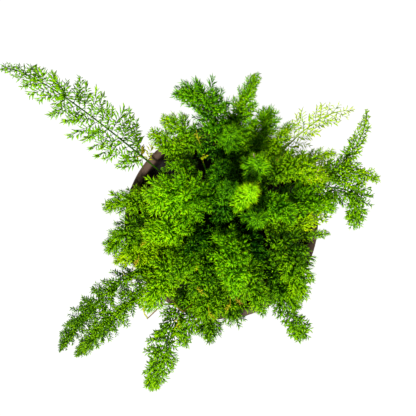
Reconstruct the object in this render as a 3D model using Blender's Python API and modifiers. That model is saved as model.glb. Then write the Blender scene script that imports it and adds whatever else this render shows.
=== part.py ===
# Potted foxtail fern: a moulded plastic pot, the potting mix in it, and the leafy
# stems that stand in the mix. Metres, +Z up. The origin is the centre of the
# pot's underside, and +Y is away from the side with the trailing stems.

import math
import random
from collections import namedtuple

import bmesh
import bpy
import numpy as np
from mathutils import Matrix, Vector

MM = 0.001
SEAT_GAP = 0.3 * MM  # what touching pieces keep between them

# Pot
POT_HEIGHT = 205 * MM
RIM_RADIUS = 125 * MM
RIM_WIDTH = 10 * MM  # the rolled rim, across
RIM_DEPTH = 15 * MM  # the rolled rim, down
ROLL_BOTTOM = POT_HEIGHT - 3 * MM  # where the rim starts to round over
BASE_RADIUS = 88 * MM
POT_WALL = 2.6 * MM
FLOOR_THICKNESS = 3 * MM
POT_SIDES = 44  # round the pot and the mix alike
ROLL_STEPS = 4  # flats round the top of the rolled rim
DRAIN_RADIUS = 5 * MM
DRAIN_CIRCLE = 62 * MM
DRAIN_COUNT = 6

# Potting mix
SOIL_TOP = 178 * MM
HOLE_DEPTH = 28 * MM
HOLE_SIDES = 5

# Stems
STEM_RADIUS = 1.4 * MM
STEM_TIP_RADIUS = 0.9 * MM
STEM_STEPS = 7  # points of a stem above the mix
SOIL_CLEARANCE = 4 * MM  # how far a stem stays upright above the mix
LEAN = 0.15  # share of its reach that a stem has gained at its first bend

# Branchlets: slim three-sided spikes; every NEEDLE_TURN-th has a ring of three needles
BRANCH_RADIUS = 0.8 * MM
BRANCH_TIP_RADIUS = 0.45 * MM
BRANCH_SPACING = 13.2 * MM
NEEDLE_TURN = 3
GOLDEN_TURN = math.radians(137.5)
LEAN_AT_START = math.radians(68)  # from the stem, lowest branchlet
LEAN_AT_TIP = math.radians(36)
NEEDLE_ROOT = 1.8 * MM
NEEDLE_SIDE = 5.5 * MM
NEEDLE_FORWARD = 6.5 * MM
NEEDLE_RING = 0.5  # share of the branchlet's length where its needles leave it
NEEDLE_RADIUS = 0.9 * MM  # half the thickness of a needle at its root
CLEAR = 0.3 * MM  # air between the spikes of two stems

# One row for each stem, in millimetres from the pot's centre, z from the table.
# foot: how far from the pot's axis it leaves the mix, below its shoulder
# rise: height of its first bend above the mix
# reach: length of its longest branchlets; bare: share of the stem without them
Frond = namedtuple("Frond", "name foot rise shoulder tip reach bare")
FRONDS = [
    # Upright tufts of the crown
    Frond("crown_1", 10, 120, (31, 39, 370), (29, 38, 440), 17, 0.6),
    Frond("crown_2", 33, 90, (10, 108, 320), (8, 103, 380), 16, 0.78),
    Frond("crown_3", 28, 100, (40, 69, 345), (38, 69, 410), 18, 0.78),
    Frond("crown_4", 22, 100, (40, 7, 335), (37, 7, 400), 15, 0.76),
    Frond("crown_5", 3, 110, (4, 45, 335), (9, 42, 400), 20, 0.05),
    Frond("crown_6", 30, 90, (0, 66, 310), (-1, 66, 350), 20, 0.15),
    # Arching plumes of the upper layer
    Frond("upper_1", 25, 110, (-45, 46, 365), (-82, 31, 310), 36, 0.5),
    Frond("upper_2", 44, 90, (-46, 88, 330), (-70, 62, 300), 9, 0.58),
    Frond("upper_3", 36, 90, (-50, -5, 325), (-91, -11, 280), 28, 0.3),
    Frond("upper_4", 44, 100, (10, 164, 345), (-50, 155, 295), 34, 0.44),
    Frond("upper_5", 22, 115, (12, -35, 370), (15, -80, 325), 30, 0.2),
    Frond("upper_6", 40, 90, (33, -62, 330), (48, -108, 280), 22, 0.35),
    Frond("upper_7", 24, 100, (-30, -25, 340), (-44, -37, 315), 18, 0.12),
    Frond("upper_8", 38, 95, (-40, -45, 345), (-58, -60, 322), 22, 0.25),
    Frond("upper_9", 32, 95, (-16, -60, 335), (-36, -82, 305), 23, 0.4),
    Frond("upper_10", 30, 95, (62, 38, 345), (80, 4, 305), 26, 0.3),
    Frond("upper_11", 30, 95, (35, -25, 305), (47, -46, 275), 23, 0.2),
    Frond("upper_12", 42, 90, (76, 96, 345), (118, 53, 315), 21, 0.58),
    # Plumes that reach to the rim or just over it
    Frond("rim_1", 52, 70, (-50, 87, 300), (-85, 111, 265), 19, 0.52),
    Frond("rim_2", 42, 75, (-26, 110, 300), (-70, 126, 275), 21, 0.68),
    Frond("rim_3", 54, 75, (16, 132, 328), (40, 176, 295), 24, 0.22),
    Frond("rim_4", 45, 70, (49, 110, 305), (58, 135, 265), 33, 0.15),
    Frond("rim_5", 56, 70, (64, 95, 305), (83, 120, 278), 16, 0.45),
    Frond("rim_6", 47, 60, (-105, 40, 275), (-146, 19, 228), 20, 0.4),
    Frond("rim_7", 50, 55, (-105, 2, 270), (-143, -33, 218), 27, 0.35),
    Frond("rim_8", 54, 50, (-95, -35, 250), (-133, -48, 212), 21, 0.35),
    Frond("rim_9", 42, 65, (-64, -50, 310), (-90, -104, 258), 26, 0.3),
    Frond("rim_10", 44, 70, (-15, -80, 310), (-21, -117, 265), 24, 0.4),
    Frond("rim_11", 56, 55, (-22, -115, 265), (-15, -149, 218), 22, 0.3),
    Frond("rim_12", 50, 55, (14, -104, 262), (14, -121, 222), 23, 0.5),
    Frond("rim_13", 54, 75, (91, -10, 300), (97, -91, 252), 27, 0.45),
    Frond("rim_14", 48, 60, (70, -74, 270), (92, -101, 228), 26, 0.35),
    Frond("rim_15", 38, 65, (100, 42, 278), (139, 18, 240), 24, 0.4),
    Frond("rim_16", 60, 70, (108, 88, 298), (138, 84, 278), 13, 0.5),
    # Outer fronds: long airy, pale, slender and twisted ones
    Frond("outer_1", 58, 75, (-227, 199, 275), (-281, 196, 218), 37, 0.29),
    Frond("outer_2", 50, 75, (98, 128, 290), (142, 135, 285), 25, 0.38),
    Frond("outer_3", 60, 52, (175, 56, 264), (184, 141, 228), 13, 0.38),
    Frond("outer_4", 46, 60, (119, 81, 300), (194, 55, 240), 20, 0.48),
    Frond("outer_5", 60, 72, (182, 85, 296), (173, -4, 192), 28, 0.35),
    Frond("outer_6", 44, 50, (84, -8, 285), (130, 8, 250), 13, 0.3),
    Frond("outer_7", 60, 45, (108, -20, 262), (139, -14, 205), 10, 0.1),
    # Trailing fronds that hang below the rim
    Frond("trailing_1", 58, 60, (-165, -82, 272), (-222, -180, 112), 22, 0.2),
    Frond("trailing_2", 50, 60, (-148, -122, 270), (-200, -188, 103), 22, 0.14),
    Frond("trailing_3", 50, 60, (-77, -148, 275), (-94, -229, 120), 27, 0.22),
    Frond("trailing_4", 48, 50, (-44, -125, 255), (-50, -160, 190), 17, 0.5),
    Frond("trailing_5", 58, 60, (94, -120, 265), (109, -155, 155), 21, 0.3),
]

GREEN = (0.12, 0.30, 0.015)
PALE_GREEN = (0.45, 0.55, 0.04)
PALE_FRONDS = ("outer_2", "outer_6")


def clear_scene():
    for obj in list(bpy.data.objects):
        bpy.data.objects.remove(obj, do_unlink=True)


def new_collection(name):
    collection = bpy.data.collections.new(name)
    bpy.context.scene.collection.children.link(collection)
    return collection


def add_object(name, mesh, collection):
    obj = bpy.data.objects.new(name, mesh)
    collection.objects.link(obj)
    return obj


def make_material(name, color, roughness, metallic=0.0):
    material = bpy.data.materials.new(name)
    material.use_nodes = True
    shader = material.node_tree.nodes["Principled BSDF"]
    shader.inputs["Base Color"].default_value = (*color, 1.0)
    shader.inputs["Roughness"].default_value = roughness
    shader.inputs["Metallic"].default_value = metallic
    return material


def applied_mesh(obj):
    graph = bpy.context.evaluated_depsgraph_get()
    return bpy.data.meshes.new_from_object(obj.evaluated_get(graph))


def turned(name, profile, sides, collection):
    """A profile in the XZ plane, from the axis round to the axis, turned by Screw."""
    bm = bmesh.new()
    verts = [bm.verts.new((x, 0.0, z)) for x, z in profile]
    for first, second in zip(verts, verts[1:]):
        bm.edges.new((first, second))
    mesh = bpy.data.meshes.new(name)
    bm.to_mesh(mesh)
    bm.free()
    obj = add_object(name, mesh, collection)
    screw = obj.modifiers.new("turn", "SCREW")
    screw.angle = math.tau
    screw.steps = screw.render_steps = sides
    screw.use_merge_vertices = True
    screw.merge_threshold = 0.00005
    return obj


def cylinder(name, radius, sides, bottom, top, center, collection):
    bm = bmesh.new()
    bmesh.ops.create_cone(
        bm, cap_ends=True, segments=sides, radius1=radius, radius2=radius, depth=top - bottom
    )
    mesh = bpy.data.meshes.new(name)
    bm.to_mesh(mesh)
    bm.free()
    obj = add_object(name, mesh, collection)
    obj.location = (center[0], center[1], (bottom + top) / 2)
    obj.hide_render = True
    obj.display_type = "WIRE"
    return obj


def wall_radius(height):
    """Radius of the pot's outer wall, which widens evenly from base to rim."""
    top_radius = RIM_RADIUS - RIM_WIDTH * 0.55
    return BASE_RADIUS + (top_radius - BASE_RADIUS) * height / POT_HEIGHT


def inner_radius(height):
    """Radius of the pot's inner wall, from its floor up to the rolled rim."""
    share = (height - FLOOR_THICKNESS) / (ROLL_BOTTOM - FLOOR_THICKNESS)
    bottom = wall_radius(FLOOR_THICKNESS) - POT_WALL
    return bottom + (RIM_RADIUS - RIM_WIDTH - bottom) * share


def pot_profile():
    """From the middle of the floor, up the inside, over the rolled rim and down."""
    roll = RIM_WIDTH / 2
    points = [(0.0, FLOOR_THICKNESS), (inner_radius(FLOOR_THICKNESS), FLOOR_THICKNESS)]
    for step in range(ROLL_STEPS + 1):
        turn = math.pi * (1 - step / ROLL_STEPS)
        height = (POT_HEIGHT - ROLL_BOTTOM) * math.sin(turn)
        points.append((RIM_RADIUS - roll + roll * math.cos(turn), ROLL_BOTTOM + height))
    lip_bottom = POT_HEIGHT - RIM_DEPTH
    points += [
        (RIM_RADIUS, lip_bottom + MM),
        (RIM_RADIUS - MM, lip_bottom),
        (wall_radius(lip_bottom), lip_bottom),
        (wall_radius(4 * MM), 4 * MM),
        (BASE_RADIUS - 3 * MM, 0.0),
        (0.0, 0.0),
    ]
    return points


def make_pot(collection, cutters):
    pot = turned("pot", pot_profile(), POT_SIDES, collection)
    holes = bpy.data.collections.new("drain holes")
    cutters.children.link(holes)
    for index in range(DRAIN_COUNT):
        angle = math.tau * index / DRAIN_COUNT
        center = (DRAIN_CIRCLE * math.cos(angle), DRAIN_CIRCLE * math.sin(angle))
        cylinder(f"drain_hole_{index}", DRAIN_RADIUS, 8, -MM, 5 * MM, center, holes)
    cut = pot.modifiers.new("drain holes", "BOOLEAN")
    cut.operand_type = "COLLECTION"
    cut.collection = holes
    cut.solver = "EXACT"
    pot.data.materials.append(make_material("moulded plastic", (0.045, 0.033, 0.028), 0.5))
    return pot


def soil_radius(height):
    return inner_radius(height) - SEAT_GAP


def make_soil(collection, cutters):
    bottom = FLOOR_THICKNESS + SEAT_GAP
    bm = bmesh.new()
    bmesh.ops.create_cone(
        bm,
        cap_ends=True,
        segments=POT_SIDES,
        radius1=soil_radius(bottom),
        radius2=soil_radius(SOIL_TOP),
        depth=SOIL_TOP - bottom,
    )
    bmesh.ops.translate(bm, verts=bm.verts, vec=(0, 0, (SOIL_TOP + bottom) / 2))
    mesh = bpy.data.meshes.new("soil")
    bm.to_mesh(mesh)
    bm.free()
    soil = add_object("soil", mesh, collection)
    holes = bpy.data.collections.new("stem holes")
    cutters.children.link(holes)
    radius = (STEM_RADIUS + SEAT_GAP) / math.cos(math.pi / HOLE_SIDES)
    for frond in FRONDS:
        floor = SOIL_TOP - HOLE_DEPTH
        cylinder(f"hole_{frond.name}", radius, HOLE_SIDES, floor, SOIL_TOP + MM, foot_of(frond), holes)
    cut = soil.modifiers.new("stem holes", "BOOLEAN")
    cut.operand_type = "COLLECTION"
    cut.collection = holes
    cut.solver = "EXACT"
    soil.data.materials.append(make_material("potting mix", (0.02, 0.014, 0.01), 0.95))
    return soil


def foot_of(frond):
    """Where the stem leaves the mix: below its shoulder, at its own distance."""
    direction = Vector(frond.shoulder[:2]).normalized()
    return direction * frond.foot * MM


def stem_points(frond):
    """Straight up out of the mix, then one smooth arch through shoulder to tip."""
    foot = foot_of(frond)
    root = Vector((foot.x, foot.y, SOIL_TOP - HOLE_DEPTH + SEAT_GAP))
    start = Vector((foot.x, foot.y, SOIL_TOP + SOIL_CLEARANCE))
    shoulder = Vector(frond.shoulder) * MM
    tip = Vector(frond.tip) * MM
    bend = start + LEAN * (tip - start)
    bend.z = SOIL_TOP + frond.rise * MM
    points = [root]
    for step in range(STEM_STEPS + 1):
        t = step / STEM_STEPS
        s = 1 - t
        points.append(s**3 * start + 3 * s * s * t * bend + 3 * s * t * t * shoulder + t**3 * tip)
    return points


def stem_radius(share):
    return STEM_RADIUS + (STEM_TIP_RADIUS - STEM_RADIUS) * share


def make_stem(frond, collection):
    points = stem_points(frond)
    curve = bpy.data.curves.new(frond.name, "CURVE")
    curve.dimensions = "3D"
    curve.bevel_depth = STEM_RADIUS
    curve.bevel_resolution = 0
    curve.use_fill_caps = True
    spline = curve.splines.new("POLY")
    spline.points.add(len(points) - 1)
    for index, point in enumerate(points):
        share = max(0, index - 1) / STEM_STEPS
        spline.points[index].co = (*point, 1.0)
        spline.points[index].radius = stem_radius(share) / STEM_RADIUS
    guide = add_object("stem guide", curve, collection)
    mesh = applied_mesh(guide)
    mesh.name = frond.name
    bm = bmesh.new()
    bm.from_mesh(mesh)
    bmesh.ops.remove_doubles(bm, verts=bm.verts, dist=0.01 * MM)
    bm.to_mesh(mesh)
    bm.free()
    bpy.data.objects.remove(guide, do_unlink=True)
    return add_object(frond.name, mesh, collection)


def has_needles(number, count):
    return number % NEEDLE_TURN == 0 or number == count


def needle_tips(length):
    """The three needle tips of a branchlet that grows along +Z."""
    height = length * NEEDLE_RING + NEEDLE_ROOT / 2 + NEEDLE_FORWARD
    side = NEEDLE_SIDE
    return [
        Vector((side * math.cos(turn), side * math.sin(turn), height))
        for turn in (math.pi / 3, math.pi, -math.pi / 3)
    ]


def branchlet_mesh(name, length, needled):
    """A three-sided spike along +Z; the faces of one short ring may be drawn out to needles."""
    bm = bmesh.new()
    bmesh.ops.create_cone(
        bm,
        cap_ends=True,
        segments=3,
        radius1=BRANCH_RADIUS,
        radius2=BRANCH_TIP_RADIUS,
        depth=length,
        matrix=Matrix.Translation((0, 0, length / 2)),
    )
    if needled:
        low = length * NEEDLE_RING
        high = low + NEEDLE_ROOT
        for height in (low, high):
            geometry = bm.verts[:] + bm.edges[:] + bm.faces[:]
            bmesh.ops.bisect_plane(bm, geom=geometry, plane_co=(0, 0, height), plane_no=(0, 0, 1))
        ring = [face for face in bm.faces if low < face.calc_center_median().z < high]
        tips = needle_tips(length)
        for vert in bmesh.ops.poke(bm, faces=ring)["verts"]:
            side = vert.co.xy.normalized()
            vert.co = min(tips, key=lambda tip: (tip.xy.normalized() - side).length)
    mesh = bpy.data.meshes.new(name)
    bm.to_mesh(mesh)
    bm.free()
    return mesh


def walk(points, share):
    """The point at this share of a polyline's length, and its direction there."""
    lengths = [(b - a).length for a, b in zip(points, points[1:])]
    left = sum(lengths) * share
    for start, end, length in zip(points, points[1:], lengths):
        if left <= length:
            return start.lerp(end, left / length), (end - start).normalized()
        left -= length
    return points[-1].copy(), (points[-1] - points[-2]).normalized()


def branch_shape(share):
    """Length of a branchlet as a share of the longest: short at both ends of the plume."""
    if share < 0.2:
        return 0.6 + 2.0 * share
    return 1.0 - 0.6 * max(0.0, (share - 0.45) / 0.55) ** 1.5


def branchlet_matrix(point, direction, spin, lean):
    upright = Vector((0, 0, 1)).rotation_difference(direction).to_matrix().to_4x4()
    turn = Matrix.Rotation(spin, 4, "Z") @ Matrix.Rotation(lean, 4, "Y")
    return Matrix.Translation(point) @ upright @ turn


def spikes(matrix, length, needled):
    """A branchlet as start, end and radius: its own axis, then its three needles if any."""
    root = matrix @ Vector((0, 0, 0))
    end = matrix @ Vector((0, 0, length))
    lines = [(root, end, BRANCH_RADIUS)]
    if needled:
        ring = matrix @ Vector((0, 0, length * NEEDLE_RING))
        lines += [(ring, matrix @ tip, NEEDLE_RADIUS) for tip in needle_tips(length)]
    return lines


def segment_distances(start, end, starts, ends):
    """Shortest distance from one segment to each of many."""
    d1 = end - start
    d2 = ends - starts
    r = start - starts
    a = d1 @ d1
    e = np.einsum("ij,ij->i", d2, d2)
    b = d2 @ d1
    c = r @ d1
    f = np.einsum("ij,ij->i", d2, r)
    s = np.clip((b * f - c * e) / np.maximum(a * e - b * b, 1e-18), 0.0, 1.0)
    t = np.clip((b * s + f) / e, 0.0, 1.0)
    s = np.clip((b * t - c) / a, 0.0, 1.0)
    gap = r + s[:, None] * d1 - t[:, None] * d2
    return np.sqrt(np.einsum("ij,ij->i", gap, gap))


class Crowd:
    """Every spike and stem placed so far, to keep the next one clear of other stems'."""

    def __init__(self):
        self.rows = []
        self.table = None

    def add(self, owner, start, end, radius):
        self.rows.append((owner, *start, *end, radius))
        self.table = None

    def is_clear(self, owner, start, end, radius):
        if self.table is None:
            self.table = np.array(self.rows)
        others = self.table[self.table[:, 0] != owner]
        distances = segment_distances(np.array(start), np.array(end), others[:, 1:4], others[:, 4:7])
        return bool(np.all(distances > others[:, 7] + radius + CLEAR))


def clear_of_pot(start, end, spike_radius):
    """Whether a spike keeps off the mix, the rolled rim and the pot's wall."""
    margin = spike_radius + MM
    for step in range(9):
        point = start.lerp(end, step / 8)
        radius = point.xy.length
        inside = radius < RIM_RADIUS - RIM_WIDTH - margin
        if inside and point.z < SOIL_TOP + margin:
            return False
        if not inside and radius < RIM_RADIUS + margin and point.z < POT_HEIGHT + margin:
            return False
    return True


def place_branchlet(owner, base, direction, spin, lean, length, needled, crowd):
    """Turns or shortens a branchlet until it is clear of the other stems, or gives None."""
    for shorter in (1.0, 0.8, 0.6):
        for turn in (0, 20, -20, 40, -40, 65, -65):
            matrix = branchlet_matrix(base, direction, spin + math.radians(turn), lean)
            lines = spikes(matrix, length * shorter, needled)
            if all(clear_of_pot(*line) and crowd.is_clear(owner, *line) for line in lines):
                for line in lines:
                    crowd.add(owner, *line)
                return matrix, length * shorter, needled
    return None


def plan_branchlets(index, frond, crowd, rng):
    """Place, length and kind of each branchlet, by the golden turn; the last ends the stem."""
    points = stem_points(frond)[1:]
    total = sum((b - a).length for a, b in zip(points, points[1:]))
    count = max(4, round(total * (1 - frond.bare) / BRANCH_SPACING))
    placed = []
    for number in range(count + 1):
        share = number / count
        base, direction = walk(points, frond.bare + (0.985 - frond.bare) * share)
        last = number == count
        lean = 0.0 if last else LEAN_AT_START + (LEAN_AT_TIP - LEAN_AT_START) * share
        length = frond.reach * MM * branch_shape(share) * rng.uniform(0.88, 1.08)
        spin = number * GOLDEN_TURN + rng.uniform(-0.25, 0.25)
        needled = has_needles(number, count)
        found = place_branchlet(index, base, direction, spin, lean, length, needled, crowd)
        if found:
            placed.append(found)
    return placed


def make_frond(frond, branchlets, collection):
    """One grown piece: the stem with its branchlets joined to it in one union."""
    stem = make_stem(frond, collection)
    sprays = new_collection(f"{frond.name} branchlets")
    for number, (matrix, length, needled) in enumerate(branchlets):
        mesh = branchlet_mesh(f"{frond.name}_{number}", length, needled)
        mesh.transform(matrix)
        add_object(mesh.name, mesh, sprays)
    union = stem.modifiers.new("branchlets", "BOOLEAN")
    union.operation = "UNION"
    union.operand_type = "COLLECTION"
    union.collection = sprays
    union.solver = "MANIFOLD"
    joined = applied_mesh(stem)
    stem.modifiers.clear()
    stem.data = joined
    joined.name = frond.name
    for obj in list(sprays.objects):
        bpy.data.objects.remove(obj, do_unlink=True)
    bpy.data.collections.remove(sprays)
    return stem


def make_fronds(collection):
    crowd = Crowd()
    for index, frond in enumerate(FRONDS):
        points = stem_points(frond)
        for start, end in zip(points, points[1:]):
            crowd.add(index, start, end, STEM_RADIUS)
    green = make_material("fern green", GREEN, 0.45)
    pale = make_material("young fern green", PALE_GREEN, 0.45)
    for index, frond in enumerate(FRONDS):
        rng = random.Random(index)
        branchlets = plan_branchlets(index, frond, crowd, rng)
        obj = make_frond(frond, branchlets, collection)
        obj.data.materials.clear()
        obj.data.materials.append(pale if frond.name in PALE_FRONDS else green)


def main():
    clear_scene()
    plant = new_collection("Potted foxtail fern")
    cutters = new_collection("Cutters")
    make_fronds(plant)
    make_pot(plant, cutters)
    make_soil(plant, cutters)


main()
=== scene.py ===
import math
import random

import bmesh
import bpy
import numpy as np
from mathutils import Matrix, Vector, noise


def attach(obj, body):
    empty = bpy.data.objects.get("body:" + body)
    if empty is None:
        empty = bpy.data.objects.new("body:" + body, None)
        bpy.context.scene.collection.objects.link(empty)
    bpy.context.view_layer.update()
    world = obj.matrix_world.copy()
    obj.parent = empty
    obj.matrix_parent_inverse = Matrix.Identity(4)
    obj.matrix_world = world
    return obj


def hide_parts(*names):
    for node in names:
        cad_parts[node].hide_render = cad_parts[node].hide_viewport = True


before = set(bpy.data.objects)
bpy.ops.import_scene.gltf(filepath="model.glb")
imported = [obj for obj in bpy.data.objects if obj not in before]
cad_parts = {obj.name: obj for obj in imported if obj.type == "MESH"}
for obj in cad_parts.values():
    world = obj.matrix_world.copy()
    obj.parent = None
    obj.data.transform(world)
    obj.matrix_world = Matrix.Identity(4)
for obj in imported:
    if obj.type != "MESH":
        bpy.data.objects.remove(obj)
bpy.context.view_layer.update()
mm = 0.001
goldenTurn = math.radians(137.5)
print("frame loaded,", len(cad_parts), "nodes")


# colours and node trees

def linearColour(hexText, alpha=1.0):
    channels = [int(hexText[i:i + 2], 16) / 255 for i in (1, 3, 5)]
    linear = [c / 12.92 if c <= 0.04045 else ((c + 0.055) / 1.055) ** 2.4 for c in channels]
    return (*linear, alpha)


def addNode(tree, kind, settings=None, **links):
    # settings are the node's own fields, links give each input a socket or a value
    node = tree.nodes.new(kind)
    for field, value in (settings or {}).items():
        setattr(node, field, value)
    for name, value in links.items():
        numbered = name[0] == "i" and name[1:].isdigit()
        socket = node.inputs[int(name[1:]) if numbered else name.replace("_", " ")]
        if isinstance(value, bpy.types.NodeSocket):
            tree.links.new(value, socket)
        else:
            socket.default_value = value
    return node


def newMaterial(name):
    material = bpy.data.materials.new(name)
    material.use_nodes = True
    tree = material.node_tree
    return material, tree, tree.nodes["Principled BSDF"]


def rampNode(tree, factor, stops):
    ramp = addNode(tree, "ShaderNodeValToRGB", i0=factor)
    elements = ramp.color_ramp.elements
    while len(elements) < len(stops):
        elements.new(0.5)
    for element, (place, colour) in zip(elements, stops):
        element.position = place
        element.color = linearColour(colour)
    return ramp


# pieces and meshes

def finishPiece(name, bm, material, replaced=(), smooth=True):
    mesh = bpy.data.meshes.new(name)
    bm.to_mesh(mesh)
    bm.free()
    if smooth:
        mesh.shade_smooth()
    mesh.materials.append(material)
    piece = bpy.data.objects.new(name, mesh)
    bpy.context.scene.collection.objects.link(piece)
    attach(piece, "root")
    if replaced:
        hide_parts(*replaced)
    return piece


def turnProfile(points, steps):
    # a profile in the XZ plane, turned once round Z and closed
    bm = bmesh.new()
    verts = [bm.verts.new((x, 0, z)) for x, z in points]
    edges = [bm.edges.new(pair) for pair in zip(verts, verts[1:])]
    bmesh.ops.spin(bm, geom=verts + edges, cent=(0, 0, 0), axis=(0, 0, 1), angle=math.tau,
                   steps=steps, use_merge=True)
    bmesh.ops.remove_doubles(bm, verts=bm.verts, dist=0.01 * mm)
    bmesh.ops.recalc_face_normals(bm, faces=bm.faces)
    return bm


# foliage

# shared shape of every stem, as in the part: straight out of the mix, then one arch
stems = {
    "soilTop": 178, "upright": 4, "lean": 0.15, "holeDepth": 27.7,
    "radius": 1.4, "tipRadius": 0.7, "steps": 26, "sides": 6,
}

# how a kind of frond is dressed: lengths in mm, angles in degrees from the stem; gap lies
# between whorls of needles and perNode is their number in a whorl, spread is how far they stand
# off their branchlet, spacing lies between branchlets, bow is their curve, flat is how far they
# leave the two sides of the stem (0 is all round it), first is their length low down as a share of
# the longest, taper how much of it they lose at the tip and fall how late; mottle is how
# much needles differ in freshness and shade how much darker a needle is at its root, partly
# older there and partly painted shade from the needles crowding round it
habits = {
    "plume": {
        "gap": 2.2, "perNode": 4, "needle": 10.0, "width": 1.75, "spread": 1.0, "spacing": 1.5,
        "leanLow": 80, "leanTip": 38, "bow": 0.12, "flat": 0, "first": 0.6, "taper": 0.75, "fall": 1.7,
        "mottle": 0.42, "shade": 1.4,
    },
    "tuft": {
        "gap": 2.0, "perNode": 4, "needle": 10.0, "width": 1.4, "spread": 0.6, "spacing": 1.6,
        "leanLow": 82, "leanTip": 46, "bow": 0.1, "flat": 0, "first": 1.0, "taper": 0.7, "fall": 1.7,
        "mottle": 0.32, "shade": 1.0,
    },
    "star": {
        "gap": 1.75, "perNode": 3, "needle": 12.5, "width": 1.2, "spread": 0.4, "spacing": 1.0,
        "leanLow": 84, "leanTip": 18, "bow": 0, "flat": 0, "first": 1.0, "taper": 0.3, "fall": 1.7,
        "mottle": 0.3, "shade": 1.0,
    },
    "airy": {
        "gap": 3.2, "perNode": 3, "needle": 12.0, "width": 2.9, "spread": 1.22, "spacing": 4.0,
        "leanLow": 86, "leanTip": 44, "bow": 0.1, "flat": 1.2, "first": 0.95, "taper": 0.92, "fall": 1.1,
        "mottle": 0.12, "shade": 0.3,
    },
    "pale": {
        "gap": 3.0, "perNode": 3, "needle": 9.5, "width": 1.9, "spread": 1.2, "spacing": 3.8,
        "leanLow": 78, "leanTip": 48, "bow": 0.1, "flat": 0.9, "first": 0.8, "taper": 0.4, "fall": 1.3,
        "mottle": 0.1, "shade": 0.3,
    },
    "twisted": {
        "gap": 2.2, "perNode": 3, "needle": 7.0, "width": 2.8, "spread": 1.0, "spacing": 2.6,
        "leanLow": 84, "leanTip": 48, "bow": 0.25, "flat": 1.2, "first": 0.9, "taper": 0.5, "fall": 1.7,
        "mottle": 0.15, "shade": 0.4,
    },
    "fine": {
        "gap": 2.5, "perNode": 3, "needle": 6.8, "width": 2.0, "spread": 1.3, "spacing": 1.15,
        "leanLow": 76, "leanTip": 34, "bow": 0.05, "flat": 1.6, "first": 0.7, "taper": 0.88, "fall": 1.7,
        "mottle": 0.36, "shade": 1.2,
    },
    "open": {
        "gap": 2.7, "perNode": 3, "needle": 9.5, "width": 2.7, "spread": 1.1, "spacing": 2.4,
        "leanLow": 74, "leanTip": 34, "bow": 0.1, "flat": 1.2, "first": 0.6, "taper": 0.75, "fall": 1.7,
        "mottle": 0.24, "shade": 0.9,
    },
}
# branchlets are grown in these lengths and scaled a little to fit
sprigLengths = (5, 8, 12, 17, 23, 30, 38)
sprigsOfEach = 3

# how freely they grow: a pair is the least and the most that a draw gives
growth = {
    "axisRadius": 0.42, "axisTipRadius": 0.2,          # of a branchlet, in mm
    "firstWhorl": 0.15, "whorlSpan": 0.83,             # shares of a branchlet's length
    "leafyShare": 0.85,
    "shortNeedle": 0.6, "fullNeedleAt": 17,            # short branchlets have shorter needles
    "endShorter": 0.28,
    "needleTurn": (-0.5, 0.5), "needleSize": (0.75, 1.1),
    "needleLean": ((55, 85), (15, 62)),                # degrees, low down and at the end
    # a branchlet's lower needles are darker: partly older, partly painted shade
    "endFresherAndLit": 0.45, "freshAndLitFrom": 0.7,
    "sprigsBelow": 0.03, "lastSprig": 0.995,           # shares of the stem
    "sprigLean": (0.85, 1.12), "sprigSize": (0.72, 1.12), "sprigTurn": (-0.35, 0.35),
    # a frond darkens from its tip down the stem: partly older growth, partly painted shade
    "youngFrom": 0.75, "freshAndShade": (-0.07, 0.09),
    "stemYouth": 1.6,                                  # how soon a stem is as young as its tip
    "dryBelow": 0.3, "dryChance": 0.03, "dryTone": (0.3, 0.7), "drySize": 0.5,
    "needlesPast": 4,                                  # mm that needles reach past their branchlet
}

# how far sprigs stay above the mix and the rim, in from the rim's edge and out from it, in mm
room = {"above": 6, "inward": 6, "outward": 5}
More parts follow.
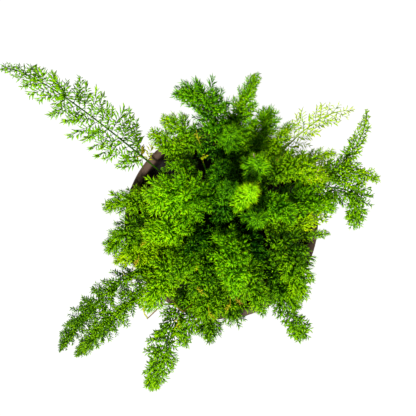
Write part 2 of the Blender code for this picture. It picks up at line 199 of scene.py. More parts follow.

# node: distance of the foot from the axis, height of the first bend above the mix,
# shoulder, tip, longest branchlet, bare share of the stem, habit,
# youth of the needles low down and at the tip (0 old and dark, 1 pale), which also holds painted
# shade on fronds sunk in the bush and on their lower parts, and how much sun it had, partly
# real yellowing and partly painted light on fronds at the edge that light reaches from all round
fronds = {
    "crown_1": (10, 120, (31, 39, 370), (29, 38, 440), 10, 0.6, "star", 0.45, 0.68, 0),
    "crown_2": (33, 90, (10, 108, 320), (8, 103, 380), 10, 0.78, "star", 0.1, 0.36, 0),
    "crown_3": (28, 100, (40, 69, 345), (38, 69, 410), 12, 0.78, "star", 0.15, 0.44, 0),
    "crown_4": (22, 100, (40, 7, 335), (37, 7, 400), 9, 0.76, "star", 0.0, 0.3, 0),
    "crown_5": (3, 110, (4, 45, 335), (9, 42, 400), 18, 0.05, "tuft", -0.2, 0.12, 0),
    "crown_6": (30, 90, (0, 66, 310), (-1, 66, 350), 20, 0.15, "tuft", -0.1, 0.05, 0),
    "upper_1": (25, 110, (-45, 46, 365), (-82, 31, 310), 36, 0.5, "plume", 0.2, 0.58, 0),
    "upper_2": (44, 90, (-46, 88, 330), (-70, 62, 300), 9, 0.58, "plume", 0.2, 0.5, 0),
    "upper_3": (36, 90, (-50, -5, 325), (-91, -11, 280), 28, 0.3, "plume", 0.12, 0.52, 0.3),
    "upper_4": (44, 100, (10, 164, 345), (-50, 155, 295), 34, 0.44, "plume", -0.02, 0.32, 0),
    "upper_5": (22, 115, (12, -35, 370), (15, -80, 325), 30, 0.2, "plume", 0.26, 0.38, 0),
    "upper_6": (40, 90, (33, -62, 330), (48, -108, 280), 22, 0.35, "plume", 0.05, 0.34, 0.5),
    "upper_7": (24, 100, (-30, -25, 340), (-44, -37, 315), 18, 0.12, "plume", -0.15, -0.03, 0),
    "upper_8": (38, 95, (-40, -45, 345), (-58, -60, 322), 22, 0.25, "plume", -0.1, 0.2, 0.4),
    "upper_9": (32, 95, (-16, -60, 335), (-36, -82, 305), 23, 0.4, "plume", -0.1, 0.12, 0.4),
    "upper_10": (30, 95, (62, 38, 345), (80, 4, 305), 26, 0.3, "plume", -0.05, 0.26, 0),
    "upper_11": (30, 95, (35, -25, 305), (47, -46, 275), 23, 0.2, "plume", -0.35, -0.3, 0),
    "upper_12": (42, 90, (76, 96, 345), (118, 53, 315), 21, 0.58, "plume", -0.08, 0.62, 0.9),
    "rim_1": (52, 70, (-50, 87, 300), (-85, 111, 265), 19, 0.52, "plume", 0.18, 0.6, 0.6),
    "rim_2": (42, 75, (-26, 110, 300), (-70, 126, 275), 21, 0.68, "plume", 0.2, 0.6, 0.6),
    "rim_3": (54, 75, (16, 132, 328), (40, 176, 295), 24, 0.22, "plume", 0.08, 0.5, 0.3),
    "rim_4": (45, 70, (49, 110, 305), (58, 135, 265), 33, 0.15, "plume", 0.15, 0.36, 0.4),
    "rim_5": (56, 70, (64, 95, 305), (83, 120, 278), 16, 0.45, "plume", 0.15, 0.6, 0.8),
    "rim_6": (47, 60, (-105, 40, 275), (-146, 19, 228), 20, 0.4, "plume", 0.2, 0.42, 0.8),
    "rim_7": (50, 55, (-105, 2, 270), (-143, -33, 218), 27, 0.35, "plume", 0.05, 0.28, 0.7),
    "rim_8": (54, 50, (-95, -35, 250), (-133, -48, 212), 21, 0.35, "plume", 0.35, 0.62, 1),
    "rim_9": (42, 65, (-64, -50, 310), (-90, -104, 258), 26, 0.3, "plume", 0.15, 0.5, 0.5),
    "rim_10": (44, 70, (-15, -80, 310), (-21, -117, 265), 24, 0.4, "plume", 0.0, 0.22, 0.7),
    "rim_11": (56, 55, (-22, -115, 265), (-15, -149, 218), 22, 0.3, "plume", -0.02, 0.12, 0.8),
    "rim_12": (50, 55, (14, -104, 262), (14, -121, 222), 23, 0.5, "plume", 0.08, 0.12, 0.8),
    "rim_13": (54, 75, (91, -10, 300), (97, -91, 252), 27, 0.45, "plume", 0.0, 0.36, 0.7),
    "rim_14": (48, 60, (70, -74, 270), (92, -101, 228), 26, 0.35, "plume", 0, 0.2, 0.5),
    "rim_15": (38, 65, (100, 42, 278), (139, 18, 240), 24, 0.4, "plume", 0.1, 0.46, 0.2),
    "rim_16": (60, 70, (108, 88, 298), (138, 84, 278), 13, 0.5, "plume", 0.5, 0.7, 0.8),
    "outer_1": (58, 75, (-227, 199, 275), (-281, 196, 218), 37, 0.29, "airy", 0.5, 0.5, 0.8),
    "outer_2": (50, 75, (98, 128, 290), (142, 135, 285), 25, 0.38, "pale", 0.86, 0.88, 0.9),
    "outer_3": (60, 52, (175, 56, 264), (184, 141, 228), 13, 0.38, "open", 0.4, 0.62, 0.9),
    "outer_4": (46, 60, (119, 81, 300), (194, 55, 240), 20, 0.48, "open", 0.22, 0.62, 0.9),
    "outer_5": (60, 72, (182, 85, 296), (173, -4, 192), 28, 0.35, "open", 0.2, 0.38, 0.8),
    "outer_6": (44, 50, (84, -8, 285), (130, 8, 250), 13, 0.3, "twisted", 0.4, 0.78, 0.9),
    "outer_7": (60, 45, (108, -20, 262), (139, -14, 205), 10, 0.1, "open", 0.4, 0.55, 0.8),
    "trailing_1": (58, 60, (-165, -82, 272), (-222, -180, 112), 22, 0.2, "fine", 0.22, 0.06, 0.9),
    "trailing_2": (50, 60, (-148, -122, 270), (-200, -188, 103), 22, 0.14, "fine", 0.24, 0.16, 0.9),
    "trailing_3": (50, 60, (-77, -148, 275), (-94, -229, 120), 27, 0.22, "open", 0.25, 0.45, 0.8),
    "trailing_4": (48, 50, (-44, -125, 255), (-50, -160, 190), 17, 0.5, "open", 0.25, 0.45, 0.8),
    "trailing_5": (58, 60, (94, -120, 265), (109, -155, 155), 21, 0.3, "open", 0.18, 0.38, 0.8),
}

# dried bits that show among the needles: frond they grow on, share of its stem, bends in mm,
# radius, how dry (0.3 golden, 0.75 brown, 1 bleached), length of the leafy end
twigs = (
    ("rim_9", 0.9, [(-98, -108, 248), (-96.5, -115, 241), (-93, -120.5, 236)], 1.3, 0.36, 0),
    ("rim_9", 0.88, [(-73, -102, 243), (-80, -108, 238), (-94, -121.5, 235)], 1.1, 0.78, 0),
    ("upper_12", 0.85, [(114, 52, 315), (109, 57.5, 322), (112, 64, 330)], 0.6, 1.0, 0),
    ("upper_12", 0.9, [(117, 51, 317), (109, 57.5, 322.5)], 0.5, 1.0, 0),
    ("crown_3", 0.93, [(34, 71, 400), (32.5, 77.5, 406)], 0.6, 0.95, 0),
    ("trailing_4", 0.5, [(-47, -108, 276), (-54, -103, 278), (-62, -92, 274)], 0.6, 0.7, 0),
    ("outer_2", 0.5, [(60, 73, 300), (73, 81, 312)], 0.6, 0.75, 0),
    ("rim_2", 0.5, [(-24, 88, 296), (-29, 101, 305), (-31, 111, 312)], 0.4, 0.42, 5),
    ("rim_2", 0.55, [(-20, 82, 290), (-24, 76, 296)], 0.4, 0.36, 5),
    ("upper_9", 0.4, [(-24, -52, 300), (-27, -52, 306)], 0.5, 0.35, 12),
    ("upper_9", 0.6, [(-30, -75, 318), (-18, -86, 318)], 0.5, 0.4, 8),
    ("rim_8", 0.5, [(-92, -22, 262), (-101, -30, 262)], 0.5, 0.4, 8),
    ("rim_8", 0.7, [(-104, -46, 252), (-112, -60, 240)], 0.5, 0.5, 8),
    ("rim_12", 0.6, [(10, -100, 268), (4, -112, 262)], 0.5, 0.4, 8),
    ("rim_12", 0.5, [(16, -92, 270), (26, -100, 266)], 0.5, 0.55, 8),
    ("rim_10", 0.8, [(-16, -108, 290), (-6, -116, 284)], 0.5, 0.4, 8),
)


def stemPath(foot, rise, shoulder, tip):
    flat = Vector(shoulder[:2]).normalized() * foot * mm
    root = Vector((*flat, (stems["soilTop"] - stems["holeDepth"]) * mm))
    start = Vector((*flat, (stems["soilTop"] + stems["upright"]) * mm))
    shoulder, tip = Vector(shoulder) * mm, Vector(tip) * mm
    bend = start.lerp(tip, stems["lean"])
    bend.z = (stems["soilTop"] + rise) * mm
    points = [root]
    for step in range(stems["steps"] + 1):
        t = step / stems["steps"]
        s = 1 - t
        points.append(s**3 * start + 3 * s * s * t * bend + 3 * s * t * t * shoulder + t**3 * tip)
    return points


def walkPath(points, share):
    lengths = [(b - a).length for a, b in zip(points, points[1:])]
    left = sum(lengths) * share
    for start, end, length in zip(points, points[1:], lengths):
        if left <= length:
            return start.lerp(end, left / length), (end - start).normalized()
        left -= length
    return points[-1].copy(), (points[-1] - points[-2]).normalized()


def alongTurn(direction):
    return Vector((0, 0, 1)).rotation_difference(direction).to_matrix().to_4x4()


def levelTurn(direction):
    # turns Z onto the direction and keeps X level, so that spins 0 and 180 are the two sides
    side = direction.cross(Vector((0, 0, 1)))
    if side.length < 0.05:
        return alongTurn(direction)
    side.normalize()
    return Matrix((side, direction.cross(side), direction)).transposed().to_4x4()


def addCopy(bm, template, matrix, freshAndShade=0.0, dry=0.0):
    # appends a template; the fourth argument is added to the template's own youth and painted shade
    copy = template.copy()
    copy.transform(matrix)
    if freshAndShade:
        young = copy.attributes["young"].data
        values = np.empty(len(young), dtype=np.float32)
        young.foreach_get("value", values)
        young.foreach_set("value", np.clip(values + freshAndShade, 0, 1))
    if dry:
        copy.attributes["dry"].data.foreach_set("value", [dry] * len(copy.vertices))
    bm.from_mesh(copy)
    bpy.data.meshes.remove(copy)


def templateMesh(name, bm):
    mesh = bpy.data.meshes.new(name)
    bm.to_mesh(mesh)
    bm.free()
    return mesh


def makeNeedle(width, shade):
    # one needle of unit length along Z: a slim folded blade, pointed at both ends, and darker
    # in its lower part, partly older there and partly painted shade from the needles round it;
    # a triangle's corners lie 0.58 of its side from its middle
    bm = bmesh.new()
    young = bm.verts.layers.float.new("young")
    for layer in ("woody", "dry"):
        bm.verts.layers.float.new(layer)
    bmesh.ops.create_cone(bm, cap_ends=True, segments=3, radius1=width * 0.58, radius2=0, depth=1.0,
                          matrix=Matrix.Translation((0, 0, 0.5)))
    bmesh.ops.remove_doubles(bm, verts=bm.verts, dist=0.0001)
    base = sorted(bm.verts, key=lambda vert: (vert.co.z, vert.co.x))[:3]
    root = base[0] if abs(base[0].co.y) < 0.0001 else base[2]
    widest, evenShade = 0.42, 0.6
    bmesh.ops.translate(bm, verts=[vert for vert in base if vert is not root], vec=(0, 0, widest))
    # painted shade: each needle darker towards its root and lighter towards its tip, partly age
    for vert in bm.verts:
        vert[young] = shade * (vert.co.z - evenShade)
    return templateMesh("needle", bm)


def makeSprig(rng, habit, needle, length):
    # a branchlet along Z: a thin green axis with whorls of needles, fresher towards its end,
    # with painted shade darkening its lower needles
    bm = bmesh.new()
    bm.verts.layers.float.new("young")
    woody = bm.verts.layers.float.new("woody")
    bm.verts.layers.float.new("dry")
    bmesh.ops.create_cone(bm, cap_ends=True, segments=3, radius1=growth["axisRadius"],
                          radius2=growth["axisTipRadius"], depth=length,
                          matrix=Matrix.Translation((0, 0, length / 2)))
    for vert in bm.verts:
        vert[woody] = 1.0
    whorls = max(2, round(length * growth["leafyShare"] / habit["gap"]))
    short = growth["shortNeedle"]
    longest = habit["needle"] * (short + (1 - short) * min(1.0, length / growth["fullNeedleAt"]))
    lowLean, endLean = growth["needleLean"]
    for number in range(whorls):
        share = number / (whorls - 1)
        height = length * (growth["firstWhorl"] + growth["whorlSpan"] * share)
        for side in range(habit["perNode"]):
            spin = number * goldenTurn + side * math.tau / habit["perNode"]
            spin += rng.uniform(*growth["needleTurn"])
            lean = rng.uniform(*lowLean) * (1 - share) + rng.uniform(*endLean) * share
            size = longest * (1.0 - growth["endShorter"] * share**3)
            size *= rng.uniform(*growth["needleSize"])
            place = (Matrix.Translation((0, 0, height)) @ Matrix.Rotation(spin, 4, "Z")
                     @ Matrix.Rotation(math.radians(lean * habit["spread"]), 4, "Y")
                     @ Matrix.Scale(size, 4))
            # painted shade: lower needles on the branchlet darker, partly for age
            freshAndShade = growth["endFresherAndLit"] * (share - growth["freshAndLitFrom"])
            addCopy(bm, needle, place, freshAndShade + rng.uniform(-habit["mottle"], habit["mottle"]))
    for vert in bm.verts:  # the bow, towards the stem's tip
        vert.co.x -= habit["bow"] * length * (vert.co.z / length) ** 2
    return templateMesh("sprig", bm)


def sprigShape(share, habit):
    # length of a branchlet along the stem: grows over the first fifth, tapers past the middle
    grown, tapering = 0.2, 0.45
    if share < grown:
        return habit["first"] + (1.0 - habit["first"]) * share / grown
    return 1.0 - habit["taper"] * max(0.0, (share - tapering) / (1 - tapering)) ** habit["fall"]


def clearOfPot(root, tip):
    # whether a sprig keeps off the mix, the rolled rim and the pot's wall
    inner = (pot["rimRadius"] - pot["rimWidth"] - room["inward"]) * mm
    outer = (pot["rimRadius"] + room["outward"]) * mm
    steps = 6
    for step in range(steps + 1):
        point = root.lerp(tip, step / steps)
        below = stems["soilTop"] if point.xy.length < inner else pot["height"]
        if point.xy.length < outer and point.z < (below + room["above"]) * mm:
            return False
    return True


def growStem(bm, points, low, high):
    # a thin cone whose end face is extruded along the path, low and high are its radii in mm
    known, woody = set(bm.verts), bm.verts.layers.float["woody"]
    last = len(points) - 1

    def ringPlace(number):
        ahead = points[min(number + 1, last)] - points[max(number - 1, 0)]
        radius = low + (high - low) * number / last
        return (Matrix.Translation(points[number]) @ alongTurn(ahead.normalized())
                @ Matrix.Scale(radius * mm, 4))

    made = bmesh.ops.create_cone(bm, cap_ends=True, segments=stems["sides"], radius1=1, radius2=1,
                                 depth=0.1)
    end = max({face for vert in made["verts"] for face in vert.link_faces},
              key=lambda face: face.calc_center_median().z)
    bmesh.ops.transform(bm, matrix=ringPlace(0), verts=made["verts"])
    for number in range(1, last + 1):
        end = bmesh.ops.extrude_discrete_faces(bm, faces=[end])["faces"][0]
        move = ringPlace(number) @ ringPlace(number - 1).inverted()
        bmesh.ops.transform(bm, matrix=move, verts=end.verts)
    grown = [vert for vert in bm.verts if vert not in known]
    for vert in grown:
        vert[woody] = 1.0
    return grown


def growTwigs(bm, name, leafy, sprigs):
    # dry twigs thin out to 0.6 of their radius, and their leafy ends are a little fresher
    dry, young = bm.verts.layers.float["dry"], bm.verts.layers.float["young"]
    for host, share, bends, radius, dryness, leafyEnd in twigs:
        if host != name:
            continue
        path = [walkPath(leafy, share)[0], *(Vector(bend) * mm for bend in bends)]
        for vert in growStem(bm, path, radius, radius * 0.6):
            vert[dry], vert[young] = dryness, 0.5
        if leafyEnd:
            place = (Matrix.Translation(path[-2]) @ alongTurn((path[-1] - path[-2]).normalized())
                     @ Matrix.Scale(mm, 4))
            addCopy(bm, sprigs["twisted", leafyEnd][0], place, 0.3, dryness)


def makeFrond(name, sprigs, material):
    foot, rise, shoulder, tip, reach, bare, habitName, old, new, sun = fronds[name]
    habit = habits[habitName]
    rng = random.Random(name)
    points = stemPath(foot, rise, shoulder, tip)
    leafy = points[1:]
    total = sum((b - a).length for a, b in zip(leafy, leafy[1:]))
    bm = bmesh.new()
    young = bm.verts.layers.float.new("young")
    for layer in ("woody", "dry"):
        bm.verts.layers.float.new(layer)
    growStem(bm, points, stems["radius"], stems["tipRadius"])
    for vert in bm.verts:
        vert[young] = new * min(1.0, growth["stemYouth"] * (vert.co - points[1]).length / total)
    lowest = bare - growth["sprigsBelow"]
    count = round(total * (1 - bare) / (habit["spacing"] * mm))
    for step in range(count + 1):
        share = step / count
        base, direction = walkPath(leafy, lowest + (growth["lastSprig"] - lowest) * share)
        lean = math.radians(habit["leanLow"] + (habit["leanTip"] - habit["leanLow"]) * share**1.3)
        lean *= rng.uniform(*growth["sprigLean"]) if step < count else 0.0
        length = reach * sprigShape(share, habit) * rng.uniform(*growth["sprigSize"])
        if habit["flat"]:
            spin = step * math.pi + rng.uniform(-1, 1) * habit["flat"]
        else:
            spin = step * goldenTurn + rng.uniform(*growth["sprigTurn"])
        # painted shade: darker down the stem towards the foot, partly older growth
        freshAndShade = old + (new - old) * min(1.0, share / growth["youngFrom"]) ** 1.5
        freshAndShade += rng.uniform(*growth["freshAndShade"])
        dry = 0.0
        if share < growth["dryBelow"] and rng.random() < growth["dryChance"]:
            dry = rng.uniform(*growth["dryTone"])
            length *= growth["drySize"]
        nearest = min(sprigLengths, key=lambda known: abs(known - length))
        for turn in (0, 30, -30, 60, -60, 90, -90):  # degrees, until it is clear of the pot
            place = (Matrix.Translation(base) @ levelTurn(direction)
                     @ Matrix.Rotation(spin + math.radians(turn), 4, "Z")
                     @ Matrix.Rotation(lean, 4, "Y") @ Matrix.Scale(length / nearest * mm, 4))
            if clearOfPot(base, place @ Vector((0, 0, nearest + growth["needlesPast"]))):
                addCopy(bm, rng.choice(sprigs[habitName, nearest]), place, freshAndShade, dry)
                break
    growTwigs(bm, name, leafy, sprigs)
    # painted light: fronds at the edge get lighter greens, partly the yellowing that sun gives
    sunAndPaintedLight = bm.verts.layers.float.new("sunAndPaintedLight")
    for vert in bm.verts:
        vert[sunAndPaintedLight] = sun
    return finishPiece("fern_" + name, bm, material, [name])


def livingNeedleMaterial():
    # living foxtail fern cladode, grown with a thin waxy skin: fresh yellow-green at
    # the young ends, deep green low down, with a soft sheen along each needle; the deep green
    # low down is partly age and partly painted shade
    material, tree, shader = newMaterial("livingFernNeedle")
    youthAndShadeNode = addNode(tree, "ShaderNodeAttribute", {"attribute_name": "young"})
    woody = addNode(tree, "ShaderNodeAttribute", {"attribute_name": "woody"})
    place = addNode(tree, "ShaderNodeTexCoord")
    # patches about 12 mm across, so neighbouring sprigs differ a little
    patches = addNode(tree, "ShaderNodeTexNoise", Vector=place.outputs["Object"], Scale=80.0, Detail=2.0)
    spread = addNode(tree, "ShaderNodeMath", {"operation": "MULTIPLY_ADD"},
                     i0=patches.outputs["Fac"], i1=0.3, i2=-0.15)
    # age and painted shade together, with the patches: one value that picks the green
    ageAndShade = addNode(tree, "ShaderNodeMath", {"operation": "ADD", "use_clamp": True},
                  i0=youthAndShadeNode.outputs["Fac"], i1=spread.outputs[0])
    # the inner ramp is for fronds within the bush, the outer one is lighter for painted light at the edge
    inner = rampNode(tree, ageAndShade.outputs[0], [
        (0.0, "#052e00"), (0.15, "#225c00"), (0.35, "#509600"), (0.58, "#76c600"), (0.8, "#a6ee00"),
        (1.0, "#d4f408")])
    outer = rampNode(tree, ageAndShade.outputs[0], [
        (0.0, "#224a00"), (0.15, "#427600"), (0.35, "#6ca200"), (0.58, "#88c200"), (0.8, "#b4de00"),
        (1.0, "#d8ec10")])
    # fronds that stand in more light turn yellower, partly real sun-yellowing and partly painted
    # light: the outer ramp's dark greens are lighter, as if light reached them from all round
    sunAndPaintedLight = addNode(tree, "ShaderNodeAttribute", {"attribute_name": "sunAndPaintedLight"})
    greens = addNode(tree, "ShaderNodeMix", {"data_type": "RGBA"})
    tree.links.new(sunAndPaintedLight.outputs["Fac"], greens.inputs["Factor"])
    tree.links.new(inner.outputs["Color"], greens.inputs["A"])
    tree.links.new(outer.outputs["Color"], greens.inputs["B"])
    stemGreen = rampNode(tree, youthAndShadeNode.outputs["Fac"], [
        (0.0, "#1a3c00"), (0.5, "#345c00"), (0.8, "#6c9410"), (1.0, "#b4c440")])
    mixed = addNode(tree, "ShaderNodeMix", {"data_type": "RGBA"})
    tree.links.new(woody.outputs["Fac"], mixed.inputs["Factor"])
    tree.links.new(greens.outputs["Result"], mixed.inputs["A"])
    tree.links.new(stemGreen.outputs["Color"], mixed.inputs["B"])
    # old sprigs and twigs have turned golden, then brown, and bleach in the end
    dry = addNode(tree, "ShaderNodeAttribute", {"attribute_name": "dry"})
    straw = rampNode(tree, dry.outputs["Fac"], [
        (0.3, "#b8c400"), (0.5, "#bca42a"), (0.75, "#6e4a22"), (1.0, "#dcbe98")])
    dried = addNode(tree, "ShaderNodeMath", {"operation": "MULTIPLY", "use_clamp": True},
                    i0=dry.outputs["Fac"], i1=3.0)
    final = addNode(tree, "ShaderNodeMix", {"data_type": "RGBA"})
    tree.links.new(dried.outputs[0], final.inputs["Factor"])
    tree.links.new(mixed.outputs["Result"], final.inputs["A"])
    tree.links.new(straw.outputs["Color"], final.inputs["B"])
    tree.links.new(final.outputs["Result"], shader.inputs["Base Color"])
    shader.inputs["Roughness"].default_value = 0.42
    shader.inputs["Specular IOR Level"].default_value = 0.06
    return material


def makeFoliage():
    sprigs = {}
    for habitName, habit in habits.items():
        rng = random.Random(habitName)
        needle = makeNeedle(habit["width"] / habit["needle"], habit["shade"])
        for length in sprigLengths:
            sprigs[habitName, length] = [makeSprig(rng, habit, needle, length)
                                         for _ in range(sprigsOfEach)]
    material = livingNeedleMaterial()
    faces = 0
    for name in fronds:
        piece = makeFrond(name, sprigs, material)
        faces += sum(len(face.vertices) - 2 for face in piece.data.polygons)
    print("foliage done,", faces, "triangles")


# pot

pot = {
    "height": 205, "rimRadius": 125, "rimWidth": 10, "rimDepth": 15, "rollDepth": 3,
    "baseRadius": 88, "wall": 2.6, "floor": 3, "steps": 160, "rollSteps": 12,
    # the last one is the height in mm up to which the inside of the wall gets painted shade
    "drains": 6, "drainRadius": 5, "drainCircle": 62, "shadedInsideTo": 199,
}


def potWallRadius(height):
    top = pot["rimRadius"] - pot["rimWidth"] * 0.55
    return pot["baseRadius"] + (top - pot["baseRadius"]) * height / pot["height"]


def potInnerRadius(height):
    share = (height - pot["floor"]) / (pot["height"] - pot["rollDepth"] - pot["floor"])
    bottom = potWallRadius(pot["floor"]) - pot["wall"]
    return bottom + (pot["rimRadius"] - pot["rimWidth"] - bottom) * share


def mouldedPlasticMaterial():
    # injection moulded polypropylene in dark grey-brown: fine satin grain from the mould,
    # faint upright rubs from stacking, and painted shade on the inside of the wall below the lip,
    # drawn as blotches of dark peat
    material, tree, shader = newMaterial("mouldedPolypropylene")
    place = addNode(tree, "ShaderNodeTexCoord").outputs["Object"]
    # the moulding's tone drifts over about 45 mm
    cloud = addNode(tree, "ShaderNodeTexNoise", Vector=place, Scale=22.0, Detail=5.0)
    body = rampNode(tree, cloud.outputs["Fac"], [(0.3, "#46352a"), (0.7, "#594436")])
    # rubs about 3 mm wide and 100 mm long
    stretched = addNode(tree, "ShaderNodeMapping", Vector=place, Scale=(1.0, 1.0, 0.03))
    rubs = addNode(tree, "ShaderNodeTexNoise", Vector=stretched.outputs[0], Scale=330.0, Detail=3.0)
    rubShare = rampNode(tree, rubs.outputs["Fac"], [(0.56, "#000000"), (0.74, "#5a5a5a")])
    rubbed = addNode(tree, "ShaderNodeMix", {"data_type": "RGBA"})
    rubbed.inputs["B"].default_value = linearColour("#705a4a")
    tree.links.new(rubShare.outputs["Color"], rubbed.inputs["Factor"])
    tree.links.new(body.outputs["Color"], rubbed.inputs["A"])
    # painted shade inside the wall below the lip, in blotches of about 6 mm drawn like dark peat
    shadedInside = addNode(tree, "ShaderNodeAttribute", {"attribute_name": "shadedInside"})
    blotches = addNode(tree, "ShaderNodeTexNoise", Vector=place, Scale=160.0, Detail=4.0)
    insideShadeShare = addNode(tree, "ShaderNodeMath", {"operation": "MULTIPLY_ADD", "use_clamp": True},
                        i0=blotches.outputs["Fac"], i1=1.4, i2=0.1)
    insideShadeShare = addNode(tree, "ShaderNodeMath", {"operation": "MULTIPLY"},
                        i0=insideShadeShare.outputs[0], i1=shadedInside.outputs["Fac"])
    surface = addNode(tree, "ShaderNodeMix", {"data_type": "RGBA"})
    surface.inputs["B"].default_value = linearColour("#150e0a")
    tree.links.new(insideShadeShare.outputs[0], surface.inputs["Factor"])
    tree.links.new(rubbed.outputs["Result"], surface.inputs["A"])
    tree.links.new(surface.outputs["Result"], shader.inputs["Base Color"])
    rough = addNode(tree, "ShaderNodeMath", {"operation": "MULTIPLY_ADD"},
                    i0=cloud.outputs["Fac"], i1=0.3, i2=0.5)
    tree.links.new(rough.outputs[0], shader.inputs["Roughness"])
    shader.inputs["Specular IOR Level"].default_value = 0.3
    # mould grain, 1 mm pits drawn coarser than real so that they show
    grain = addNode(tree, "ShaderNodeTexNoise", Vector=place, Scale=900.0, Detail=2.0)
    bump = addNode(tree, "ShaderNodeBump", Height=grain.outputs["Fac"], Strength=0.15, Distance=0.0003)
    tree.links.new(bump.outputs["Normal"], shader.inputs["Normal"])
    return material


def cutDrains(piece):
    # round holes through the base, cut with one cylinder each
    bm = bmesh.new()
    for number in range(pot["drains"]):
        turn = Matrix.Rotation(math.tau * number / pot["drains"], 4, "Z")
        place = turn @ Matrix.Translation((pot["drainCircle"] * mm, 0, 2 * mm))
        bmesh.ops.create_cone(bm, cap_ends=True, segments=24, radius1=pot["drainRadius"] * mm,
                              radius2=pot["drainRadius"] * mm, depth=6 * mm, matrix=place)
    cutter = bpy.data.objects.new("drain cutter", templateMesh("drain cutter", bm))
    bpy.context.scene.collection.objects.link(cutter)
    cut = piece.modifiers.new("drains", "BOOLEAN")
    cut.operation, cut.object, cut.solver = "DIFFERENCE", cutter, "EXACT"
    holed = bpy.data.meshes.new_from_object(piece.evaluated_get(bpy.context.evaluated_depsgraph_get()))
    piece.modifiers.clear()
    piece.data = holed
    bpy.data.objects.remove(cutter)


def makePot():
    roll = pot["rimWidth"] / 2
    rollBottom = pot["height"] - pot["rollDepth"]
    lipBottom = pot["height"] - pot["rimDepth"]
    points = [(0, pot["floor"]), (potInnerRadius(pot["floor"]) - 1, pot["floor"]),
              (potInnerRadius(pot["floor"] + 2), pot["floor"] + 2)]
    points += [(potInnerRadius(height), height) for height in range(20, 196, 25)]  # up the wall
    for step in range(pot["rollSteps"] + 1):
        turn = math.pi * (1 - step / pot["rollSteps"])
        points.append((pot["rimRadius"] - roll + roll * math.cos(turn),
                       rollBottom + pot["rollDepth"] * math.sin(turn)))
    points += [  # the lip's lower edges and the foot are rounded by a few small flats
        (pot["rimRadius"], lipBottom + 1), (pot["rimRadius"] - 0.4, lipBottom + 0.3),
        (pot["rimRadius"] - 1.2, lipBottom), (potWallRadius(lipBottom) + 0.8, lipBottom),
        (potWallRadius(lipBottom), lipBottom - 0.8),
        (potWallRadius(5), 5), (potWallRadius(0) - 0.6, 2), (potWallRadius(0) - 2, 0.5),
        (potWallRadius(0) - 3, 0), (0, 0)]
    bm = turnProfile([(x * mm, z * mm) for x, z in points], pot["steps"])
    # painted shade: marks the inside of the wall below the lip, for the material to darken
    shadedInside = bm.verts.layers.float.new("shadedInside")
    for vert in bm.verts:
        inside = vert.co.xy.length < (potInnerRadius(vert.co.z / mm) + 0.5) * mm
        vert[shadedInside] = float(inside and vert.co.z < pot["shadedInsideTo"] * mm)
    piece = finishPiece("moulded_pot", bm, mouldedPlasticMaterial(), ["pot"])
    cutDrains(piece)
    piece.data.set_sharp_from_angle(angle=math.radians(50))
    print("pot done,", len(piece.data.polygons), "faces")


# potting mix

mix = {
    "gap": 0.3, "rings": 34, "steps": 120,
    "lumpHeight": 2.2, "lumpsPerMetre": 90, "lumpFade": 8, "levelEdge": 0.5, "settled": 0.6,
    "crumbs": 900, "crumbSize": (0.8, 2.6), "crumbStretch": ((0.6, 1.6), (0.6, 1.1), (0.4, 0.9)),
    "crumbEdge": 4, "crumbLift": 0.2,
}


def pottingMixMaterial():
    # damp peat potting mix: nearly black crumbs of about 2.4 mm with brown fibre
    material, tree, shader = newMaterial("dampPeatMix")
    place = addNode(tree, "ShaderNodeTexCoord")
    crumbs = addNode(tree, "ShaderNodeTexNoise", Vector=place.outputs["Object"], Scale=420.0, Detail=6.0)
    body = rampNode(tree, crumbs.outputs["Fac"], [(0.3, "#080504"), (0.55, "#130d09"), (0.75, "#251a12")])
    tree.links.new(body.outputs["Color"], shader.inputs["Base Color"])
    shader.inputs["Roughness"].default_value = 0.9
    bump = addNode(tree, "ShaderNodeBump", Height=crumbs.outputs["Fac"], Strength=0.6, Distance=0.001)
    tree.links.new(bump.outputs["Normal"], shader.inputs["Normal"])
    return material


def makePottingMix():
    top, bottom = stems["soilTop"], pot["floor"] + mix["gap"]
    edge = potInnerRadius(top) - mix["gap"]
    points = [(edge * ring / mix["rings"], top) for ring in range(mix["rings"] + 1)]
    points += [(potInnerRadius(bottom) - mix["gap"], bottom), (0, bottom)]
    bm = turnProfile([(x * mm, z * mm) for x, z in points], mix["steps"])
    for vert in bm.verts:
        inward = edge * mm - vert.co.xy.length
        if vert.co.z > top * mm / 2 and inward > mix["levelEdge"] * mm:
            lumps = noise.fractal(vert.co * mix["lumpsPerMetre"], 0.8, 2.0, 4)
            height = mix["lumpHeight"] * min(1.0, inward / (mix["lumpFade"] * mm))
            vert.co.z += (lumps * height - mix["settled"]) * mm
    material = pottingMixMaterial()
    finishPiece("potting_mix", bm, material, ["soil"])
    rng = random.Random(7)
    ball = bmesh.new()
    bmesh.ops.create_icosphere(ball, subdivisions=1, radius=1)
    crumb = templateMesh("crumb", ball)
    bm = bmesh.new()
    for _ in range(mix["crumbs"]):
        radius = (edge - mix["crumbEdge"]) * math.sqrt(rng.random()) * mm
        angle = rng.uniform(0, math.tau)
        size = rng.uniform(*mix["crumbSize"]) * mm
        height = (top + mix["crumbLift"]) * mm
        where = Vector((radius * math.cos(angle), radius * math.sin(angle), height))
        turn = Matrix.Rotation(rng.uniform(0, math.tau), 4, rng.choice("XYZ"))
        stretch = Matrix.Diagonal([rng.uniform(*pair) for pair in mix["crumbStretch"]] + [1])
        addCopy(bm, crumb, Matrix.Translation(where) @ turn @ stretch @ Matrix.Scale(size, 4))
    finishPiece("mix_crumbs", bm, material, smooth=False)
    print("potting mix done")


# camera, light and floor

# the camera looks straight down on focus from height, in mm; at the rim, reach below it, its
# view is width across
shot = {"focus": (-17.2, 18.3), "height": 1505, "width": 536.6, "reach": 1300, "sensor": 36}

studio = {
    "floorHalf": 20, "floorGlow": 0.95,      # metres to each side, and the glow that keeps it white
    "skyLight": 0.12, "skySeen": 0.87,       # what it gives, and what shows past the floor
    "key": 4.9, "keyWidth": 8, "keyTilt": (22, -6),
}


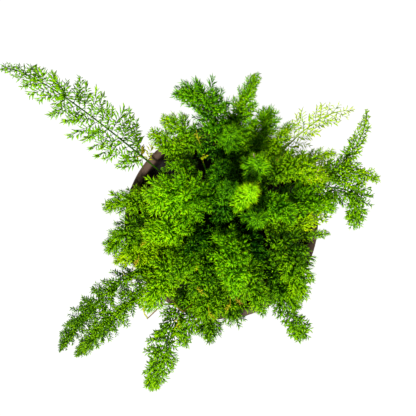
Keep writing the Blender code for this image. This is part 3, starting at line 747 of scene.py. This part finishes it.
def makeStudio():
    floorMesh = bmesh.new()
    bmesh.ops.create_grid(floorMesh, x_segments=1, y_segments=1, size=studio["floorHalf"])
    mesh = bpy.data.meshes.new("floor")
    floorMesh.to_mesh(mesh)
    floorMesh.free()
    floor = bpy.data.objects.new("floor", mesh)
    bpy.context.scene.collection.objects.link(floor)
    # matt white paint, which shows no grain from here
    material, tree, shader = newMaterial("paintedWhiteFloor")
    shader.inputs["Base Color"].default_value = linearColour("#f6f6f6")
    shader.inputs["Roughness"].default_value = 0.9
    shader.inputs["Emission Color"].default_value = (1, 1, 1, 1)
    shader.inputs["Emission Strength"].default_value = studio["floorGlow"]
    mesh.materials.append(material)
    unlit = bpy.data.collections.new("not lit by the key")
    unlit.objects.link(floor)
    unlit.collection_objects[0].light_linking.link_state = "EXCLUDE"

    world = bpy.data.worlds.new("studio")
    bpy.context.scene.world = world
    world.use_nodes = True
    sky = world.node_tree.nodes["Background"]
    sky.inputs["Color"].default_value = (1, 1, 1, 1)
    # dim for the light it gives, pale where the camera looks past the floor
    seen = addNode(world.node_tree, "ShaderNodeLightPath").outputs["Is Camera Ray"]
    strength = addNode(world.node_tree, "ShaderNodeMath", {"operation": "MULTIPLY_ADD"},
                       i0=seen, i1=studio["skySeen"] - studio["skyLight"], i2=studio["skyLight"])
    world.node_tree.links.new(strength.outputs[0], sky.inputs["Strength"])

    sun = bpy.data.objects.new("key", bpy.data.lights.new("key", "SUN"))
    sun.data.energy = studio["key"]
    sun.light_linking.receiver_collection = unlit
    sun.data.angle = math.radians(studio["keyWidth"])
    sun.rotation_euler = (*(math.radians(tilt) for tilt in studio["keyTilt"]), 0)
    bpy.context.scene.collection.objects.link(sun)

    camera = bpy.data.objects.new("camera", bpy.data.cameras.new("camera"))
    camera.data.sensor_width = shot["sensor"]
    camera.data.lens = shot["sensor"] * shot["reach"] / shot["width"]
    camera.location = (shot["focus"][0] * mm, shot["focus"][1] * mm, shot["height"] * mm)
    bpy.context.scene.collection.objects.link(camera)
    bpy.context.scene.camera = camera
    bpy.context.scene.view_settings.view_transform = "Standard"
    print("studio done")


makeStudio()
makePot()
makePottingMix()
makeFoliage()
